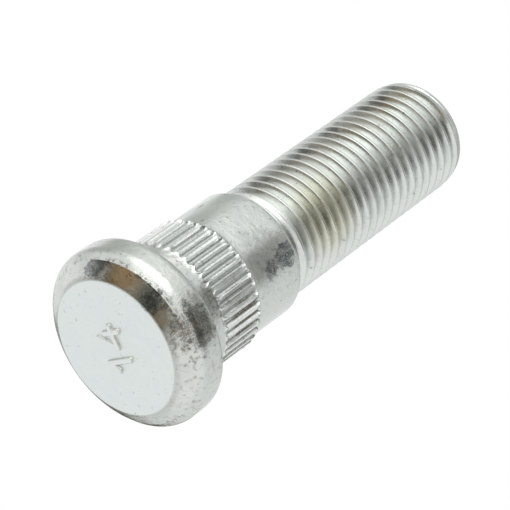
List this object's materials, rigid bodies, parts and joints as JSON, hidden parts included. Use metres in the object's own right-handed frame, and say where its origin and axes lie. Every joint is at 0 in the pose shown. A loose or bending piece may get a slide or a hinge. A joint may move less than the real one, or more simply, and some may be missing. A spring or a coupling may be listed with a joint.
{
  "type": "wheel stud",
  "caption": "Press-in wheel stud with a round low head, a straight knurl, a plain shank and a long metric thread, made in one piece.",
  "frame": {"origin": "centre of the flat face of the head, on which the stud stands", "axes": "+Z along the stud's axis, from the head to the tip of the thread; X and Y point across the stud, and no direction round the axis is special"},
  "size_m": [0.0216, 0.0216, 0.0562],
  "materials": {
    "zinc_plate": "bright zinc plate, silvery with a faint olive tint on the thread, lightly pitted"
  },
  "bodies": {
    "root": {"wheel_stud": "zinc_plate"}
  },
  "joints": []
}
